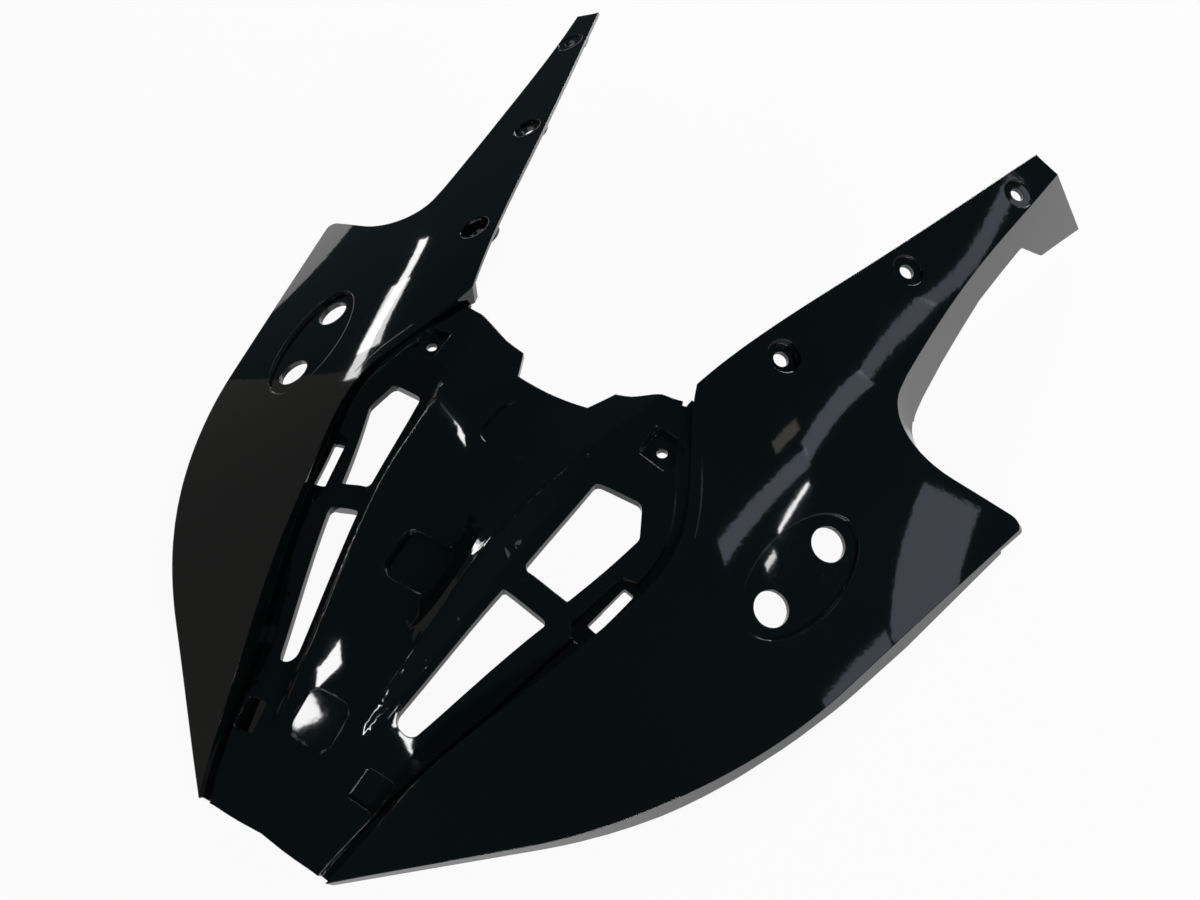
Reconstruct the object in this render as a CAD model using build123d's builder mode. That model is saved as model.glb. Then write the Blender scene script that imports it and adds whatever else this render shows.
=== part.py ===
"""Upper front cowl of a sport motorcycle: one thin-walled moulding in gloss black plastic."""
import os

from build123d import *

# Wall and edges, in millimetres
wall = 3.0
skirt_height = 3.0
flare_out = 0.42
flare_back = 0.42
groove_depth = 3.5
groove_end = 268.0
hollow_groove_end = 290.0
corner_radius = 2.0

# Share of each span that a section's curves keep level, and the slopes at which they meet
trough_level = 0.7
crest_level = 0.15
wall_level = 0.5
ledge_level = 0.35
crest_slope = 0.05
ledge_slope = 0.15
# Drop of the inner skin for each millimetre of wall: side panels, trough, crest
side_drop = 1.1
trough_drop = 1.3
crest_drop = 1.6

# Character lines of the skin: points (across, back from the nose, up from the rim), nose to tail
midline = Spline((0, -20, -10), (0, 0, 4), (0, 31, 22.5), (0, 80, 41), (0, 130, 51), (0, 175, 58.5),
                 (0, 212, 61), (0, 244, 56), (0, 280, 50))
crest = Spline((9, -20, -10), (12, 0, 4), (15, 31, 22.8), (20, 66, 38.5), (26, 110, 59),
               (31.5, 150, 74), (39, 200, 74), (48, 235, 72), (55, 262, 70.5), (58, 280, 70))
foot = Spline((15, -20, -11), (18, 0, 3), (21, 31, 21), (26, 66, 31.5), (34, 110, 46.5),
              (39.5, 150, 58), (46.5, 200, 65), (55, 235, 70.5), (60, 262, 70), (63, 280, 69.5))
ledge = Spline((26, -20, -13), (31.5, 0, 0), (41, 31, 13), (51.5, 67, 20), (62.5, 95, 27),
               (75, 134, 35.5), (87, 170, 39.5), (92.3, 195, 48), (86, 218, 57.5), (72, 245, 67.5),
               (65, 262, 70), (67, 280, 69), (69, 300, 68))
seam = Spline((31, -20, -10), (37, 0, 1.5), (46.5, 32, 17), (57, 66, 29.5), (76.5, 117, 37),
              (89.5, 158, 40.5), (97.5, 188, 45.5), (94.5, 214, 55), (78, 247, 66.5), (67, 270, 75.5),
              (64, 312, 81), (95, 409, 76.5), (127, 505, 71.5), (145, 565, 69))
shoulder = Spline((40, -20, -14.7), (46, 0, -3), (66, 66, 25.5), (98, 140, 34.5), (104.5, 205, 48),
                  (106, 248, 56), (114, 312, 62), (128, 409, 64.2), (146, 505, 64.6), (163, 565, 62.5))
fold = Spline((48, -20, -18.8), (54, 0, -7), (74, 66, 21.5), (110, 140, 30), (113.5, 205, 43.3),
              (118, 248, 48.8), (126, 312, 54.6), (136, 409, 60.6), (151.5, 505, 62), (168.5, 565, 60))
belt = Spline((60, -20, -25), (66, 0, -13), (88, 66, 15), (131, 140, 21.8), (147.5, 205, 30.2),
              (155.5, 248, 32.8), (161, 312, 38.5), (151, 409, 54.8), (164.5, 505, 56), (181, 565, 54.5))
rim = Spline((84, -20, -37.5), (90, 0, -25.6), (113, 66, 6), (175, 140, 8.5), (198.5, 205, 6),
             (210.5, 248, 4), (227, 312, 1.5), (225, 409, 15), (235, 505, 20), (250, 565, 20))
rim_overrun = (40, -24)
centre_stations = (-20, 0, 16, 31, 48, 66, 88, 110, 130, 150, 175, 200, 220, 240, 262, 280)
groove_stations = (-21, 0, 31, 66, 95, 134, 170, 195, 218, 245, 262)
side_stations = (-22, 0, 33, 66, 100, 140, 172, 205, 248, 290, 340, 409, 460, 505, 564)

# Plan of the edge: points on the skin's edge, with a height where the edge flares
nose_tip = (0, 3.5)
nose_corner = (37.5, 0)
rim_bend = (173.1, 116.6)
rear_tip = (232.7, 331.5)
rear_corner = (149.7, 311.5, 46)
arm_edge = [(148.5, 352, 49.5), (152.5, 425, 55), (167.4, 534, 55.6)]
arm_tip = (148.8, 537, 63.6)
bend_radius = 280.0
tip_radius = 5.0
crook_radius = 32.0

# Lower edge of the flared flange: along each arm (back, up), and along the rear edge (across, up)
arm_underside = [(346, 24), (387, 31), (434, 37.5), (486, 38.5), (507, 19.5), (575, 4.5)]
notch_radius = 7.0
rear_underside = [(120, 24), (152, 24), (166, 26), (178, 22), (190, 15), (210, 5), (233, -3), (260, -3)]
rear_reach = 36.0
# Lower edge of the skirt where it lifts at the bend of the rim (back, up)
rim_underside = [(60, -3), (100, -1), (125, 1.5), (145, 3), (172, 2.5), (200, 0), (235, -3)]

# Windscreen opening and the two slots on each side of the spine, in plan
screen_edge = [(-1, 243), (21, 243.5), (28, 259), (38, 258.7), (59, 261.7), (66.5, 263), (67, 270.7), (152, 540)]
upper_slot = [(51.5, 202.5), (73.8, 207.5), (80.5, 193.5), (66.6, 151.2), (44.5, 149.3)]
upper_slot_radii = (4, 4, 4, 1.5, 2.5)
lower_slot = [(41.9, 136.9), (64.3, 138.4), (38.5, 64.5), (28, 65.5)]
lower_slot_radii = (2, 2, 5, 5)

# Flat pads in the trough: back from the nose, width, length, depth below the trough's lowest line
trough_pads = [(50, 23, 24, 0.8), (130, 28, 26, 0.3), (212, 30, 28, 0.3)]
trough_pad_radius = 6.0

# Screw holes along each arm, square to the skin
arm_middle = (123.4, 407.2, 65.8)
arm_run = Vector(0.296, 0.954, -0.04)
arm_across = Vector(0.92, 0, -0.39)
arm_hole_pitch = 99.0
arm_hole_count = 3
arm_hole_diameter = 8.3
arm_seat_diameter = 18.0
arm_seat_depth = 1.5

# Mirror pad on each side
pad_centre = (151.3, 225.5, 31.5)
pad_run = Vector(0.179, 0.982, 0.046)
pad_across = Vector(0.91, 0, -0.41)
pad_length = 78.0
pad_width = 42.0
pad_depth = 1.8
pad_hole_pitch = 45.7
pad_hole_count = 2
pad_hole_diameter = 18.0

# Stay screw pocket on each side of the spine
stay_place = (69.0, 234.7)
stay_pocket = 17.0
stay_floor = 62.0
stay_hole_diameter = 5.5

# Blind clip pocket on each side of the nose
clip_centre = (35.4, 38.3, 19.0)
clip_across = Vector(13.3, 0.4, -5.3)
clip_back = Vector(4.9, 14.3, 5.0)
clip_width = 14.0
clip_length = 15.5
clip_depth = 4.0

# Drain slot, in a pocket that widens the groove
drain_place = (84.0, 160.7)
drain_width = 6.2
drain_length = 25.0
drain_turn = -13.3
drain_pocket = [(91, 178), (82, 176.5), (79.5, 171.5), (72.2, 146.3), (75.5, 139.5), (79, 139.5)]
drain_floor = 35.0
drain_rise = 0.13

# Reach of tools past the part: bottoms of the three masses, start and length of cuts, height over a seat
centre_base = 70.0
groove_base = 75.0
side_base = 80.0
under_part = -100.0
far = 400.0
clearance = 30.0


def crossing(line, y):
    """Where a character line crosses the section plane at y: (x, z), found by halving the line."""
    low = 0.0
    high = 1.0
    for step in range(30):
        middle = (low + high) / 2
        if (line @ middle).Y < y:
            low = middle
        else:
            high = middle
    place = line @ low
    return place.X, place.Z


def centre_section(y, depth):
    """Half section of the centre panel at y, sunk by depth: trough, rounded crest, steep wall, ledge."""
    mid_z = crossing(midline, y)[1] - trough_drop * depth
    crest_x, crest_z = crossing(crest, y)
    foot_x, foot_z = crossing(foot, y)
    ledge_x, ledge_z = crossing(ledge, y)
    top = (crest_x - depth / 2, crest_z - crest_drop * depth)
    low = (foot_x - depth, foot_z - depth)
    edge = (ledge_x - depth, ledge_z - depth)
    near = trough_level * crest_x
    rise = crest_level * crest_x
    run = wall_level * (low[0] - top[0])
    reach = ledge_level * (edge[0] - low[0])
    with BuildSketch(Plane.XZ.offset(-y)) as section:
        with BuildLine():
            Bezier((0, mid_z), (near, mid_z), (top[0] - rise, top[1] - crest_slope * rise), top)
            if depth:
                Line(top, low)
            else:
                Bezier(top, (top[0] + run, top[1] - crest_slope * run),
                       (low[0] - run, low[1] + crest_slope * run), low)
            Bezier(low, (low[0] + reach, low[1] - ledge_slope * reach), (edge[0] - reach, edge[1]), edge)
            Polyline(edge, (edge[0], -centre_base), (0, -centre_base), (0, mid_z))
        make_face()
    return section.sketch


def groove_section(y, depth):
    """Section of the groove's floor at y, sunk by depth, reaching under the panels on both sides."""
    ledge_x, ledge_z = crossing(ledge, y)
    near_x = ledge_x - 2 * wall
    far_x = crossing(seam, y)[0] + 2 * wall
    floor_z = ledge_z - groove_depth - depth
    with BuildSketch(Plane.XZ.offset(-y)) as section:
        with BuildLine():
            Polyline((near_x, floor_z), (far_x, floor_z), (far_x, -groove_base), (near_x, -groove_base), close=True)
        make_face()
    return section.sketch


def side_section(y, depth):
    """Section of one side panel at y, sunk by depth, from the seam out past the rim."""
    drop = depth * side_drop
    seam_x, seam_z = crossing(seam, y)
    points = [(seam_x + depth, seam_z - drop)]
    for line in (shoulder, fold, belt, rim):
        x, z = crossing(line, y)
        points.append((x, z - drop))
    points.append((points[-1][0] + rim_overrun[0], points[-1][1] + rim_overrun[1]))
    with BuildSketch(Plane.XZ.offset(-y)) as section:
        with BuildLine():
            Spline(*points)
            Polyline(points[-1], (points[-1][0], -side_base), (points[0][0], -side_base), points[0])
        make_face()
    return section.sketch


def fill(depth, end):
    """The three panels of one half as solid masses, their skins sunk by depth, the groove run to end."""
    loft([centre_section(y, depth) for y in centre_stations])
    loft([groove_section(y, depth) for y in (*groove_stations, end)])
    loft([side_section(y, depth) for y in side_stations])


def lean(x, y, z):
    """Foot, at rim level, of the flared edge that comes down from a point on the skin."""
    return x + flare_out * z, y + flare_back * z


def nearest(sketch, point):
    """The corner of a sketch that is nearest to a point of its plan."""
    return sketch.vertices().sort_by_distance((point[0], point[1], 0))[0]


with BuildSketch() as outline:
    with BuildLine():
        Polyline(nose_tip, nose_corner, rim_bend, rear_tip, lean(*rear_corner), lean(*arm_edge[0]))
        ThreePointArc(*[lean(*point) for point in arm_edge])
        Polyline(lean(*arm_edge[-1]), lean(*arm_tip), (0, arm_tip[1]), nose_tip)
    make_face()
    fillet(nearest(outline, rim_bend), bend_radius)
    fillet(nearest(outline, rear_tip), tip_radius)
    fillet(nearest(outline, lean(*rear_corner)), crook_radius)

# The hollow is open at the nose and at the ends of the arms, and runs across the middle of the part
with BuildSketch() as inner_outline:
    add(outline.sketch)
    offset(amount=-wall, mode=Mode.REPLACE)
    with BuildLine():
        Polyline((0, -clearance), (nose_corner[0] - wall, -clearance), (nose_corner[0] - wall, clearance),
                 (0, clearance), close=True)
    make_face()
    with BuildLine():
        Polyline((0, 0), (2 * wall, 0), (2 * wall, arm_tip[1] - wall), (0, arm_tip[1] - wall), close=True)
    make_face()
    end_x, end_y = lean(*arm_edge[-1])
    with BuildLine():
        Polyline((arm_tip[0], end_y - clearance), (end_x - 2 * wall, end_y - clearance),
                 (end_x - wall, end_y + clearance), (arm_tip[0], end_y + clearance), close=True)
    make_face()

flare = Vector(-flare_out, -flare_back, 1)
arm_plane = Plane(arm_middle, x_dir=arm_run, z_dir=arm_across.cross(arm_run))
pad_plane = Plane(pad_centre, x_dir=pad_run, z_dir=pad_across.cross(pad_run))
stay_plane = Plane((*stay_place, stay_floor))
clip_plane = Plane(clip_centre, x_dir=clip_across, z_dir=clip_across.cross(clip_back))
drain_plane = Plane((*drain_place, drain_floor), x_dir=(1, 0, 0), z_dir=(0, -drain_rise, 1))
drain_corners = [(x - drain_place[0], y - drain_place[1]) for x, y in drain_pocket]

with BuildPart() as mass:
    fill(0, groove_end)

# Seats, cups and pockets keep their own wall inside the hollow
with BuildPart() as cups:
    with BuildSketch(arm_plane.offset(-arm_seat_depth - wall)):
        with GridLocations(arm_hole_pitch, 1, arm_hole_count, 1):
            Circle(arm_seat_diameter / 2 + wall)
    with BuildSketch(pad_plane.offset(-pad_depth - wall)):
        Ellipse(pad_length / 2 + wall, pad_width / 2 + wall)
    with BuildSketch(stay_plane.offset(-wall)):
        RectangleRounded(stay_pocket + 2 * wall, stay_pocket + 2 * wall, corner_radius + wall)
    with BuildSketch(clip_plane.offset(-clip_depth - wall)):
        RectangleRounded(clip_width + 2 * wall, clip_length + 2 * wall, corner_radius + wall)
    with BuildSketch(drain_plane.offset(-wall)):
        with BuildLine():
            Polyline(*drain_corners, close=True)
        make_face()
        offset(amount=wall, mode=Mode.REPLACE)
    extrude(amount=wall + clearance)

with BuildPart() as hollow:
    fill(wall, hollow_groove_end)
    extrude(inner_outline.sketch, amount=far, dir=flare, both=True, mode=Mode.INTERSECT)
    add(cups.part, mode=Mode.SUBTRACT)

# Everything that is cut through or sunk into one half
with BuildPart() as cuts:
    with BuildSketch(Plane.YZ) as arm_under:
        with BuildLine():
            Polyline(*arm_underside, (arm_underside[-1][0], under_part), (arm_underside[0][0], under_part),
                     close=True)
        make_face()
        for point in arm_underside[3:5]:
            fillet(nearest(arm_under, point), notch_radius)
    with BuildSketch(Plane.YZ):
        with BuildLine():
            Polyline(*rim_underside, (rim_underside[-1][0], under_part), (rim_underside[0][0], under_part),
                     close=True)
        make_face()
    extrude(amount=far)
    with BuildSketch(Plane.XZ.offset(-arm_underside[0][0])):
        with BuildLine():
            Polyline(*rear_underside, (rear_underside[-1][0], under_part), (rear_underside[0][0], under_part),
                     close=True)
        make_face()
    extrude(amount=rear_reach)
    with BuildSketch(Plane.XY.offset(under_part)):
        with BuildLine():
            Polyline(*screen_edge, (far, 2 * far), (screen_edge[0][0], 2 * far), close=True)
        make_face()
    for corners, radii in ((upper_slot, upper_slot_radii), (lower_slot, lower_slot_radii)):
        with BuildSketch(Plane.XY.offset(under_part)) as slot:
            with BuildLine():
                Polyline(*corners, close=True)
            make_face()
            for corner, radius in zip(corners, radii):
                fillet(nearest(slot, corner), radius)
    with BuildSketch(Plane.XY.offset(under_part)):
        with Locations(Location((*drain_place, 0), (0, 0, drain_turn))):
            RectangleRounded(drain_width, drain_length, corner_radius / 2)
    extrude(amount=far)
    for y, width, length, depth in trough_pads:
        low_z = crossing(midline, y)[1]
        climb = crossing(midline, y + 1)[1] - low_z
        with BuildSketch(Plane((0, y, low_z), x_dir=(1, 0, 0), z_dir=(0, -climb, 1)).offset(-depth)):
            RectangleRounded(width, length, trough_pad_radius)
    with BuildSketch(arm_plane.offset(-arm_seat_depth)):
        with GridLocations(arm_hole_pitch, 1, arm_hole_count, 1):
            Circle(arm_seat_diameter / 2)
    with BuildSketch(pad_plane.offset(-pad_depth)):
        Ellipse(pad_length / 2, pad_width / 2)
    with BuildSketch(stay_plane):
        RectangleRounded(stay_pocket, stay_pocket, corner_radius)
    with BuildSketch(clip_plane.offset(-clip_depth)):
        RectangleRounded(clip_width, clip_length, corner_radius)
    with BuildSketch(drain_plane):
        with BuildLine():
            Polyline(*drain_corners, close=True)
        make_face()
    extrude(amount=clearance)
    with BuildSketch(arm_plane):
        with GridLocations(arm_hole_pitch, 1, arm_hole_count, 1):
            Circle(arm_hole_diameter / 2)
    with BuildSketch(pad_plane):
        with GridLocations(pad_hole_pitch, 1, pad_hole_count, 1):
            Circle(pad_hole_diameter / 2)
    with BuildSketch(stay_plane):
        Circle(stay_hole_diameter / 2)
    extrude(amount=clearance, both=True)

with BuildPart() as shell:
    add(mass.part)
    extrude(outline.sketch, amount=far, dir=flare, both=True, mode=Mode.INTERSECT)
    add(hollow.part, mode=Mode.SUBTRACT)
    split(bisect_by=Plane.XY.offset(-skirt_height), keep=Keep.TOP)
    add(cuts.part, mode=Mode.SUBTRACT)
    mirror(about=Plane.YZ)

# The finished part stands on its skirt, centred over the origin, nose towards -Y
extent = shell.part.bounding_box()
with BuildPart() as cowl:
    add(shell.part.moved(Location((0, -extent.center().Y, -extent.min.Z))))
print("origin from the nose", extent.center().Y, "up from", extent.min.Z)

os.makedirs("parts", exist_ok=True)
cowl.part.label = "cowl"
export_step(cowl.part, "parts/cowl.step")
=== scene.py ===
# %% [markdown]
# # Dressing a gloss black motorcycle cowl
# The object is one injection moulding: a spined nose, two swept flanks and two arms that carry the
# windscreen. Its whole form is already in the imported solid, so nothing is modelled again here. This
# lesson gives that solid its finish: clean shading across the triangles, a wet-looking black outside,
# a dull grained inside, and a small studio whose lamps draw the long streaks that make black plastic
# readable at all.

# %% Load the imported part
import bmesh
import bpy
import math
from mathutils import Matrix, Quaternion, Vector


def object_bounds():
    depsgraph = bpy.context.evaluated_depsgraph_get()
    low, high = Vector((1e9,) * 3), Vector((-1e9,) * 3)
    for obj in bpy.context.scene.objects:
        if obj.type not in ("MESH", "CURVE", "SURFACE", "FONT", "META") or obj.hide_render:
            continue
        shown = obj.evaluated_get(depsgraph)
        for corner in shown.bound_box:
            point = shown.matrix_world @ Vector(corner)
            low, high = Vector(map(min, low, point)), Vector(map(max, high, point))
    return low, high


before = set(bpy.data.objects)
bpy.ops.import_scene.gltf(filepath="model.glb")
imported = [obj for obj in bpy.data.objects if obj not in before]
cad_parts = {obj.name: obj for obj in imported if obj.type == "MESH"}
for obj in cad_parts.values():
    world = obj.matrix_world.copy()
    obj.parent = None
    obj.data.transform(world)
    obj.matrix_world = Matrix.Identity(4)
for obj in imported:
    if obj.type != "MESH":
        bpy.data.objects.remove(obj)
cad_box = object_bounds()
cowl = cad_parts["cowl"]
scene = bpy.context.scene
scene.view_settings.view_transform = "Standard"
box_corners = [tuple(round(v, 4) for v in corner) for corner in cad_box]
print("cowl:", len(cowl.data.polygons), "triangles, box", box_corners)

# %% [markdown]
# ## Camera
# The photograph looks down on the right of the nose, from close by, so the near flank is large and the
# far one is foreshortened. Place, direction and focal length were worked out from the part's own mirror
# symmetry: every pair of left and right holes is one equation. The camera is measured from a point on
# the floor and the midline, just under the front of the nose.

# %% Camera
camera_from_nose = Vector((0.2327, -0.0695, 0.5189))
nose_to_middle = 0.277490
camera_turn = math.radians(33.25)
camera_down = math.radians(52.53)
camera_roll = math.radians(-2.32)
camera_lens = 35.4
camera_sensor = 36.0

camera = bpy.data.objects.new("camera", bpy.data.cameras.new("camera"))
camera.data.sensor_width = camera_sensor
camera.data.lens = camera_lens
scene.collection.objects.link(camera)
stand = Matrix.Translation(camera_from_nose - Vector((0, nose_to_middle, 0)))
turned = Matrix.Rotation(camera_turn, 4, "Z")
tilted = Matrix.Rotation(math.pi / 2 - camera_down, 4, "X")
rolled = Matrix.Rotation(camera_roll, 4, "Z")
camera.matrix_world = stand @ turned @ tilted @ rolled
scene.camera = camera
print("camera at", [round(v, 4) for v in camera.matrix_world.translation])

# %% [markdown]
# ## Node maths in plain Python
# A procedural finish is mostly arithmetic: how far down a face looks, how much grain, how much dust. In
# the editor each plus sign is a node to drag out. Wrapping a socket in a small class lets Python's own
# operators add those nodes, so `1 - mask` reads as it is meant. Every other node comes from one method,
# which sets the node's options first, because options decide which sockets are there, and then fills or
# links its sockets. Geometry nodes have the same sockets and links, so the same bench serves both.

# %% Sockets that can be added and multiplied
class Wire:
    """One output socket, with operators that add Math nodes behind it."""

    def __init__(self, bench, socket):
        self.bench = bench
        self.socket = socket

    def __add__(self, other):
        return self.bench.maths("ADD", self, other)

    def __sub__(self, other):
        return self.bench.maths("SUBTRACT", self, other)

    def __rsub__(self, other):
        return self.bench.maths("SUBTRACT", other, self)

    def __mul__(self, other):
        return self.bench.maths("MULTIPLY", self, other)

    __radd__ = __add__
    __rmul__ = __mul__


class Bench:
    """A node tree to work on, emptied first."""

    def __init__(self, tree):
        self.tree = tree
        self.tree.nodes.clear()

    def node(self, kind, settings=None, sockets=None):
        """Adds a node: its settings first, then a value or a wire for each named or numbered socket."""
        made = self.tree.nodes.new(kind)
        for name, value in (settings or {}).items():
            setattr(made, name, value)
        for name, value in (sockets or {}).items():
            if isinstance(name, int):
                target = made.inputs[name]
            else:
                target = next(socket for socket in made.inputs if socket.enabled and socket.name == name)
            if isinstance(value, Wire):
                self.tree.links.new(value.socket, target)
            else:
                target.default_value = value
        return {socket.name: Wire(self, socket) for socket in made.outputs if socket.enabled}

    def maths(self, operation, *terms):
        """One Math node."""
        return self.node("ShaderNodeMath", {"operation": operation}, dict(enumerate(terms)))["Value"]

    def vector(self, operation, *terms, **numbers):
        """One Vector Math node, which gives a number for a dot product and else a vector."""
        sockets = {**dict(enumerate(terms)), **numbers}
        made = self.node("ShaderNodeVectorMath", {"operation": operation}, sockets)
        return made["Value" if operation == "DOT_PRODUCT" else "Vector"]

    def step(self, value, low, high):
        """0 below low, 1 above high and a smooth ramp between them."""
        settings = {"interpolation_type": "SMOOTHSTEP"}
        sockets = {"Value": value, "From Min": low, "From Max": high}
        return self.node("ShaderNodeMapRange", settings, sockets)["Result"]

    def mix(self, share, first, second):
        """One colour fading into another."""
        sockets = {"Factor": share, "A": first, "B": second}
        return self.node("ShaderNodeMix", {"data_type": "RGBA"}, sockets)["Result"]

    def noise(self, place, scale, detail):
        """Soft noise from 0 to 1, with scale bumps to the metre."""
        sockets = {"Vector": place, "Scale": scale, "Detail": detail}
        return self.node("ShaderNodeTexNoise", None, sockets)["Fac"]


print("bench ready")

# %% [markdown]
# ## Even normals
# The real skin is one smooth sweep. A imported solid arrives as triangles, long and thin ones where the
# skin is nearly flat, and each corner's normal is a guess from whichever slivers meet there. Paint hides
# that; a mirror finish tears every reflection along it. Blur Attribute alone could even the normals out,
# but it goes from corner to joined corner, so on long slivers its reach is ragged. Here it only takes off
# the worst. The rest goes by distance: points on a ring around each corner, flat against the skin, are
# looked up on the nearest surface of the same patch, and their normals are added up. A normal that points
# too far away from the corner's own counts for less or for nothing, so a steep wall does not bleed into
# the panel beside it. Rings of several sizes follow each other. The start axis only says where on the
# ring the first point lies.

# %% Normals averaged over rings of nearby points
blur_rounds = 4
ring_reaches = (0.008, 0.016, 0.032, 0.032, 0.032, 0.016, 0.008)
ring_points = 8
ring_start_axis = (0.31, 0.87, 0.38)
alike_limits = (math.cos(math.radians(22)), math.cos(math.radians(10)))
vector_data = {"data_type": "FLOAT_VECTOR"}


def even_normals(bench, patches, own):
    """Averages normals within each patch. Gives the patches and the averaged normal on them."""
    blurred = {"Value": own, "Iterations": blur_rounds}
    even = bench.node("GeometryNodeBlurAttribute", vector_data, blurred)["Value"]
    island = bench.node("GeometryNodeInputMeshIsland")["Island Index"]
    place = bench.node("GeometryNodeInputPosition")["Position"]
    along = bench.vector("NORMALIZE", bench.vector("CROSS_PRODUCT", own, ring_start_axis))
    aside = bench.vector("CROSS_PRODUCT", own, along)
    for reach in ring_reaches:
        stored = {"Geometry": patches, "Name": "even", "Value": even}
        settings = {**vector_data, "domain": "POINT"}
        patches = bench.node("GeometryNodeStoreNamedAttribute", settings, stored)["Geometry"]
        even = bench.node("GeometryNodeInputNamedAttribute", vector_data, {"Name": "even"})["Attribute"]
        total = even
        for point in range(ring_points):
            angle = math.tau * point / ring_points
            away = bench.vector("ADD", bench.vector("SCALE", along, Scale=reach * math.cos(angle)),
                                bench.vector("SCALE", aside, Scale=reach * math.sin(angle)))
            lookup = {"Mesh": patches, "Value": even, "Group ID": island, "Sample Group ID": island,
                      "Sample Position": bench.vector("ADD", place, away)}
            nearby = bench.node("GeometryNodeSampleNearestSurface", vector_data, lookup)["Value"]
            share = bench.step(bench.vector("DOT_PRODUCT", nearby, even), *alike_limits)
            total = bench.vector("ADD", total, bench.vector("SCALE", nearby, Scale=share))
        even = bench.vector("NORMALIZE", total)
    return patches, even


print("averaging:", len(ring_reaches), "rings of", ring_points, "points, up to", max(ring_reaches), "m away")

# %% [markdown]
# ## Creases and fillets
# A moulding has crisp edges as well as sweeps. The loose triangles are joined, shaded smooth and creased
# where an edge turns by more than a set angle. Averaging must not leak over a crease, so it works on a
# copy that is split there, where each patch between creases is an island. Tight fillets turn fast on
# purpose and keep their own normals. Smooth by Angle would give the creases, but not the averaging. The
# mesh itself stays as imported, because all of this is a modifier.

# %% Smooth skin, sharp edges
weld_distance = 0.00002
sharp_angle = math.radians(24)
fillet_turn = (math.radians(6), math.radians(14))


def smooth_skin(node, name):
    """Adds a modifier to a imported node: joined corners, creases, and normals averaged between creases."""
    tree = bpy.data.node_groups.new(name, "GeometryNodeTree")
    tree.interface.new_socket("Geometry", in_out="INPUT", socket_type="NodeSocketGeometry")
    tree.interface.new_socket("Geometry", in_out="OUTPUT", socket_type="NodeSocketGeometry")
    bench = Bench(tree)
    loose = bench.node("NodeGroupInput")["Geometry"]
    joining = {"Geometry": loose, "Distance": weld_distance}
    skin = bench.node("GeometryNodeMergeByDistance", None, joining)["Geometry"]
    smoothing = {"Geometry": skin, "Shade Smooth": True}
    skin = bench.node("GeometryNodeSetShadeSmooth", None, smoothing)["Geometry"]
    turn = bench.node("GeometryNodeInputMeshEdgeAngle")["Unsigned Angle"]
    limit = {"A": turn, "B": sharp_angle}
    sharp = bench.node("FunctionNodeCompare", {"operation": "GREATER_THAN"}, limit)["Result"]
    creasing = {"Geometry": skin, "Selection": sharp, "Shade Smooth": False}
    skin = bench.node("GeometryNodeSetShadeSmooth", {"domain": "EDGE"}, creasing)["Geometry"]

    patches = bench.node("GeometryNodeSplitEdges", None, {"Mesh": skin, "Selection": sharp})["Mesh"]
    own = bench.node("GeometryNodeInputNormal")["Normal"]
    patches, even = even_normals(bench, patches, own)
    blend = {"Factor": bench.step(turn, *fillet_turn), "A": even, "B": own}
    normal = bench.node("ShaderNodeMix", {"data_type": "VECTOR"}, blend)["Result"]
    corner = bench.node("GeometryNodeInputIndex")["Index"]
    lookup = {"Geometry": patches, "Value": normal, "Index": corner}
    normal = bench.node("GeometryNodeSampleIndex", {**vector_data, "domain": "CORNER"}, lookup)["Value"]
    custom = {"Mesh": skin, "Custom Normal": normal}
    skin = bench.node("GeometryNodeSetMeshNormal", {"mode": "FREE", "domain": "CORNER"}, custom)["Mesh"]
    bench.node("NodeGroupOutput", None, {"Geometry": skin})
    node.modifiers.new(name, "NODES").node_group = tree


smooth_skin(cowl, "smooth_skin")
evaluated = cowl.evaluated_get(bpy.context.evaluated_depsgraph_get())
shaded = evaluated.to_mesh()
print("joined skin:", len(shaded.vertices), "corners,", len(shaded.polygons), "triangles")
evaluated.to_mesh_clear()

# %% [markdown]
# ## Outside, inside and edge
# The real cowl is black all through, but the polished outside is glossier than the flange and the skirt
# that stand on edge round it. The inside is not in the picture, and is taken to be grained. Separate
# materials would need faces picked by hand on a mesh that must not change. One material can tell the
# three apart by itself. Inside faces look down. Edge faces are steep, and lie far from the midline or
# close to the floor.

# %% Masks for the inside and the edge
inside_facing = (-0.16, -0.06)
trim_facing = (0.44, 0.60)
trim_from_middle = (0.105, 0.112)
trim_below = (0.010, 0.013)


def inside_and_trim(bench, place):
    """Two masks: 1 on faces that look down, and 1 on the flange and the skirt."""
    facing = bench.node("ShaderNodeNewGeometry")["True Normal"]
    settings = {"vector_type": "NORMAL", "convert_from": "WORLD", "convert_to": "OBJECT"}
    facing = bench.node("ShaderNodeVectorTransform", settings, {"Vector": facing})["Vector"]
    upward = bench.node("ShaderNodeSeparateXYZ", None, {"Vector": facing})["Z"]
    inside = 1 - bench.step(upward, *inside_facing)
    spot = bench.node("ShaderNodeSeparateXYZ", None, {"Vector": place})
    from_middle = bench.maths("ABSOLUTE", spot["X"])
    far_out = bench.step(from_middle, *trim_from_middle)
    low_down = 1 - bench.step(spot["Z"], *trim_below)
    outer = bench.maths("MAXIMUM", far_out, low_down)
    trimmed = (1 - bench.step(upward, *trim_facing)) * (1 - inside) * outer
    return inside, trimmed


print("edge: over", trim_from_middle[0], "m from the midline or under", trim_below[1], "m high")

# %% [markdown]
# ## Gloss black
# Polished black plastic looks like wet ink: its own colour is nearly nothing, and only its reflections
# show. So the skin is one sharp gloss, with a trace of haze, specks of dust, and the slow ripple that
# painters call orange peel. A clear coat would lay a second reflection over the first, so a thin and
# hazy one goes on the flange and the skirt only. The Bevel node rounds hard edges in the shading, so
# that they catch a line of light. All patterns read Object coordinates, so they stay with the part.

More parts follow.
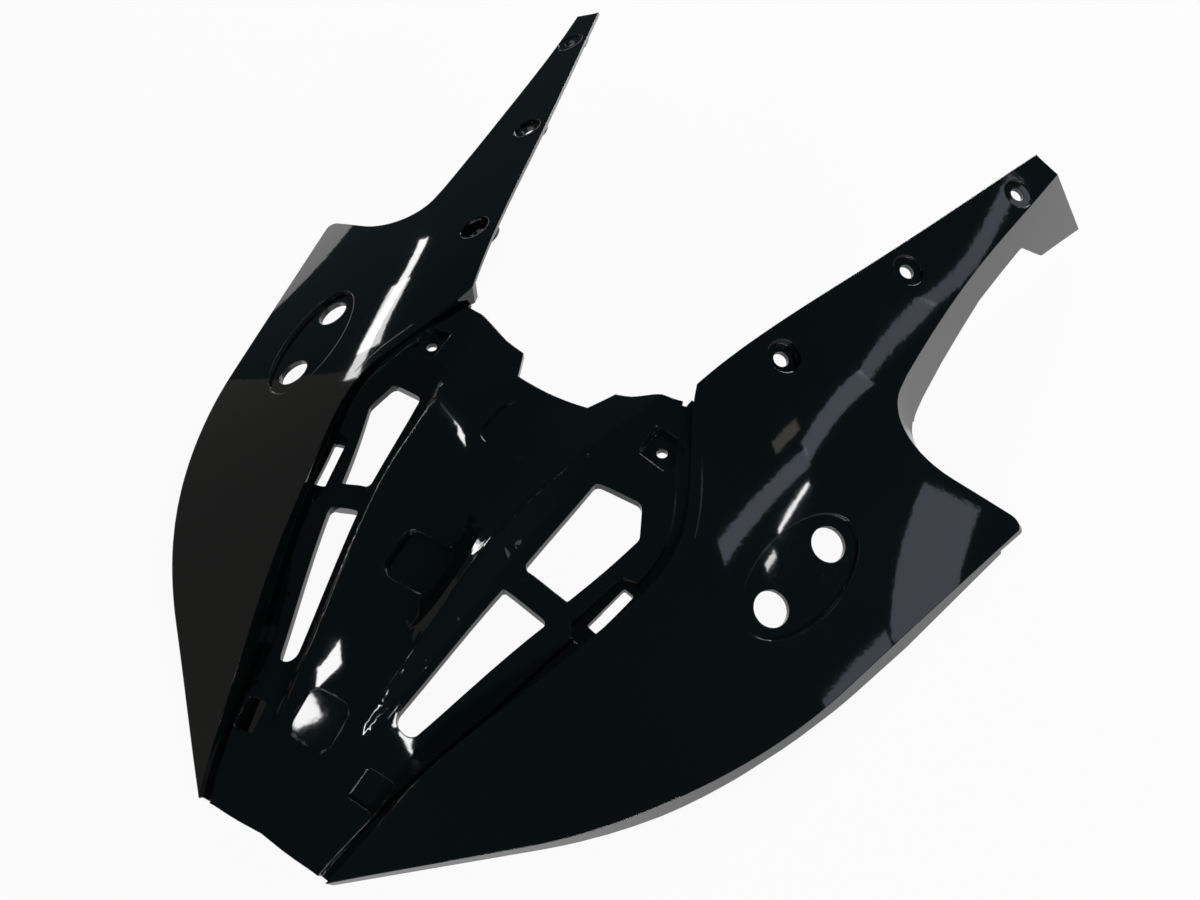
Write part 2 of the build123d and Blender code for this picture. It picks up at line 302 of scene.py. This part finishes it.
# %% Gloss black finish
coat_black = (0.0016, 0.0030, 0.0036, 1)
coat_teal = (0.0022, 0.0050, 0.0058, 1)
trim_black = (0.0100, 0.0110, 0.0120, 1)
grain_black = (0.0180, 0.0185, 0.0190, 1)
dust_grey = (0.0600, 0.0590, 0.0560, 1)
# Noise: bumps to the metre, detail
cloud_noise = (9.0, 3.0)
haze_noise = (34.0, 4.0)
peel_noise = (240.0, 1.0)
grain_noise = (1900.0, 2.0)
# Dust: specks to the metre, edge of a speck, clouds that hold dust, share of its colour
speck_scale = 420.0
speck_edge = (0.03, 0.11)
dusty_cloud = (0.52, 0.70)
dust_share = 0.25
# Roughness of the gloss, and what each of the others adds to it
gloss_roughness = 0.02
haze_roughness = 0.02
dust_roughness = 0.2
trim_roughness = 0.14
grain_roughness = 0.42
# Relief: shares of peel and of grain on the edge, and the bump's strength and depth
peel_share = 0.5
trim_grain = 0.12
relief_strength = 0.15
relief_depth = 0.00007
edge_radius = 0.0007
edge_samples = 6
plastic_ior = 1.5
trim_coat = 0.35
trim_coat_roughness = 0.12


def gloss_black():
    """The cowl's one material: glossy skin, duller edges under a hazy coat, and a grained inside."""
    material = bpy.data.materials.new("gloss_black")
    material.use_nodes = True
    bench = Bench(material.node_tree)
    place = bench.node("ShaderNodeTexCoord")["Object"]
    inside, trimmed = inside_and_trim(bench, place)

    cloud = bench.noise(place, *cloud_noise)
    speck = bench.node("ShaderNodeTexVoronoi", None, {"Vector": place, "Scale": speck_scale})["Distance"]
    dust = (1 - bench.step(speck, *speck_edge)) * bench.step(cloud, *dusty_cloud)
    haze = bench.noise(place, *haze_noise)
    colour = bench.mix(cloud, coat_black, coat_teal)
    colour = bench.mix(trimmed, colour, trim_black)
    colour = bench.mix(dust * dust_share, colour, dust_grey)
    colour = bench.mix(inside, colour, grain_black)

    roughness = gloss_roughness + haze * haze_roughness + dust * dust_roughness
    roughness = roughness + trimmed * trim_roughness + inside * grain_roughness

    peel = bench.noise(place, *peel_noise)
    grain = bench.noise(place, *grain_noise)
    relief = peel * peel_share * (1 - inside) + grain * (inside + trimmed * trim_grain)
    rounded = bench.node("ShaderNodeBevel", {"samples": edge_samples}, {"Radius": edge_radius})["Normal"]
    bump = {"Strength": relief_strength, "Distance": relief_depth, "Height": relief, "Normal": rounded}
    normal = bench.node("ShaderNodeBump", None, bump)["Normal"]
    shell = bench.node("ShaderNodeBsdfPrincipled", None, {
        "Base Color": colour, "Roughness": roughness, "IOR": plastic_ior, "Normal": normal,
        "Coat Weight": trimmed * trim_coat, "Coat Roughness": trim_coat_roughness})
    bench.node("ShaderNodeOutputMaterial", None, {"Surface": shell["BSDF"]})
    return material


cowl.data.materials.clear()
cowl.data.materials.append(gloss_black())
print("finish:", [slot.name for slot in cowl.data.materials])

# %% [markdown]
# ## Floor
# The cowl lies on a pale sheet. Black gloss shows its surroundings, so the sheet matters twice: the
# camera looks through the slots at it, and the flange along the arm mirrors it as a light grey band. A
# floor without end would also fill the far flank with white, so this one is a round table top, just wide
# enough for the picture, in a dim room. Most of its white is its own glow, which the camera, mirrors and
# clear things all see alike; the rest is plain diffuse white, and that share carries a faint shadow.

# %% Floor
floor_radius = 0.68
floor_segments = 96
floor_glow = 0.94
floor_white = (0.80, 0.80, 0.80, 1)


def pale_sheet():
    """Floor finish: white to the camera and in mirrors, with the shadow kept."""
    material = bpy.data.materials.new("pale_sheet")
    material.use_nodes = True
    bench = Bench(material.node_tree)
    path = bench.node("ShaderNodeLightPath")
    seen = path["Is Camera Ray"] + path["Is Glossy Ray"] + path["Is Transmission Ray"]
    cloth = bench.node("ShaderNodeBsdfDiffuse", None, {"Color": floor_white})["BSDF"]
    glow = bench.node("ShaderNodeEmission", None, {"Strength": 1.0})["Emission"]
    share = bench.maths("MINIMUM", seen, 1.0) * floor_glow
    sheet = bench.node("ShaderNodeMixShader", None, {0: share, 1: cloth, 2: glow})["Shader"]
    bench.node("ShaderNodeOutputMaterial", None, {"Surface": sheet})
    return material


shape = bmesh.new()
bmesh.ops.create_circle(shape, cap_ends=True, radius=floor_radius, segments=floor_segments)
floor = bpy.data.objects.new("floor", bpy.data.meshes.new("floor"))
shape.to_mesh(floor.data)
shape.free()
floor.data.materials.append(pale_sheet())
scene.collection.objects.link(floor)
print("floor:", round(2 * floor_radius, 2), "m across")

# %% [markdown]
# ## Soft boxes
# Black gloss has almost no shading of its own, so each light is placed by what it should draw, or by
# where it is not mirrored. Two soft boxes, low at the front right and behind, give nearly all of the
# light, from sides where the camera sees little of them in the skin. One big overhead box would be
# simpler, but the skin could mirror it as a grey sheet. Directions are a compass angle from +X towards +Y
# and a height angle, in degrees, seen from the middle of the part; the turn is about the lamp's own axis.

# %% Soft boxes
look_at = Vector((0, 0, 0.04))
white = (1.0, 1.0, 1.0)


def hang_lamps(lamps):
    """Hangs rectangular lamps that face the middle of the part, and says how bright they are."""
    for name, compass, height, distance, size, turn, watts, colour in lamps:
        light = bpy.data.lights.new(name, "AREA")
        light.shape = "RECTANGLE"
        light.size, light.size_y = size
        light.energy = watts
        light.color = colour
        lamp = bpy.data.objects.new(name, light)
        across = math.cos(math.radians(height))
        away = Vector((across * math.cos(math.radians(compass)), across * math.sin(math.radians(compass)),
                       math.sin(math.radians(height))))
        lamp.location = look_at + away * distance
        aim = (-away).to_track_quat("-Z", "Y") @ Quaternion((0, 0, 1), math.radians(turn))
        lamp.rotation_euler = aim.to_euler()
        scene.collection.objects.link(lamp)
        print(name, "at", [round(v, 2) for v in lamp.location], "with", watts, "W")


# Each lamp: name, compass, height, distance, size, turn, watts, colour
hang_lamps([
    ("front_box", -42, 13, 1.9, (0.9, 0.35), 0, 26.0, white),
    ("rear_box", 95, 26, 1.9, (1.0, 0.5), 0, 30.0, white),
])

# %% [markdown]
# ## Sparks and patches
# The photograph has short bright sparks on the crest and the fold, and a pair of white patches by the
# nose. They could be painted on, but then they would not move with the view. Each is the mirror image of
# one small lamp. To find its place, stand at the camera, pick the spot that should shine, bounce the line
# of sight off the skin there and see where it goes.

# %% Sparks and patches
hang_lamps([
    ("crest_spark", 96.6, 58.9, 1.7, (0.06, 0.04), 0, 0.15, white),
    ("fold_spark", 23.6, 48.4, 1.7, (0.16, 0.010), -37.5, 0.12, white),
    ("lower_spark", 17.1, 50.7, 1.7, (0.05, 0.012), -40, 0.03, white),
    ("nose_patch_high", -137.0, 48.6, 1.7, (0.09, 0.17), 0, 1.1, white),
    ("nose_patch_low", -126.8, 46.6, 1.7, (0.045, 0.05), 0, 0.16, white),
    ("crest_front", -98.7, 59.9, 1.7, (0.06, 0.05), 0, 0.21, white),
])

# %% [markdown]
# ## Streaks on the right
# A long lavender band runs along the right fold, with a small brown patch in it, and a wider one lies on
# the flank below. The fold bends, so one straight lamp would leave the band part of the way. Four thin
# strips, end to end, follow it, and a small warm card adds the brown patch. A dim panel and its thin tail
# draw the flank's band.

# %% Streaks on the right
lavender = (0.78, 0.83, 1.0)
warm = (1.0, 0.86, 0.70)
hang_lamps([
    ("arm_end_strip", 54.65, 36.4, 2.2, (0.31, 0.034), -44, 0.040, lavender),
    ("arm_strip", 46.35, 40.95, 2.2, (0.315, 0.042), -25, 0.058, lavender),
    ("fold_strip", 36.25, 45.35, 2.2, (0.365, 0.066), -38, 0.120, lavender),
    ("fold_nose_strip", 23.25, 52.9, 2.2, (0.53, 0.055), -46, 0.145, lavender),
    ("fold_warm_card", 31.6, 50.9, 2.2, (0.153, 0.04), -49, 0.020, warm),
    ("flank_panel", 24.8, 33.6, 2.2, (0.365, 0.22), -8, 0.353, lavender),
    ("flank_tail", 14.5, 41.3, 2.2, (0.43, 0.078), -51, 0.147, lavender),
])

# %% [markdown]
# ## Far flank and room
# The far flank is seen at a flat angle and mirrors what stands low on the left. Two thin cards there draw
# its white wedge, a long one and a wider one, and a large dim warm card keeps the rest from going blank.
# The room is a dim teal grey, which is what the gloss shows where it mirrors no lamp.

# %% Far flank and room
hang_lamps([
    ("wedge_long", 162.4, 12.1, 1.7, (0.535, 0.028), 34.4, 0.42, white),
    ("wedge_wide", 163.4, 12.9, 1.7, (0.27, 0.055), 37, 0.37, white),
    ("warm_card", -169, 13, 1.8, (1.4, 0.8), 0, 0.467, warm),
])
room_grey = (0.040, 0.054, 0.060, 1)
world = bpy.data.worlds.new("dim_room")
world.use_nodes = True
room = Bench(world.node_tree)
glow = room.node("ShaderNodeBackground", None, {"Color": room_grey, "Strength": 1.0})
room.node("ShaderNodeOutputWorld", None, {"Surface": glow["Background"]})
scene.world = world
print("room:", room_grey[:3])
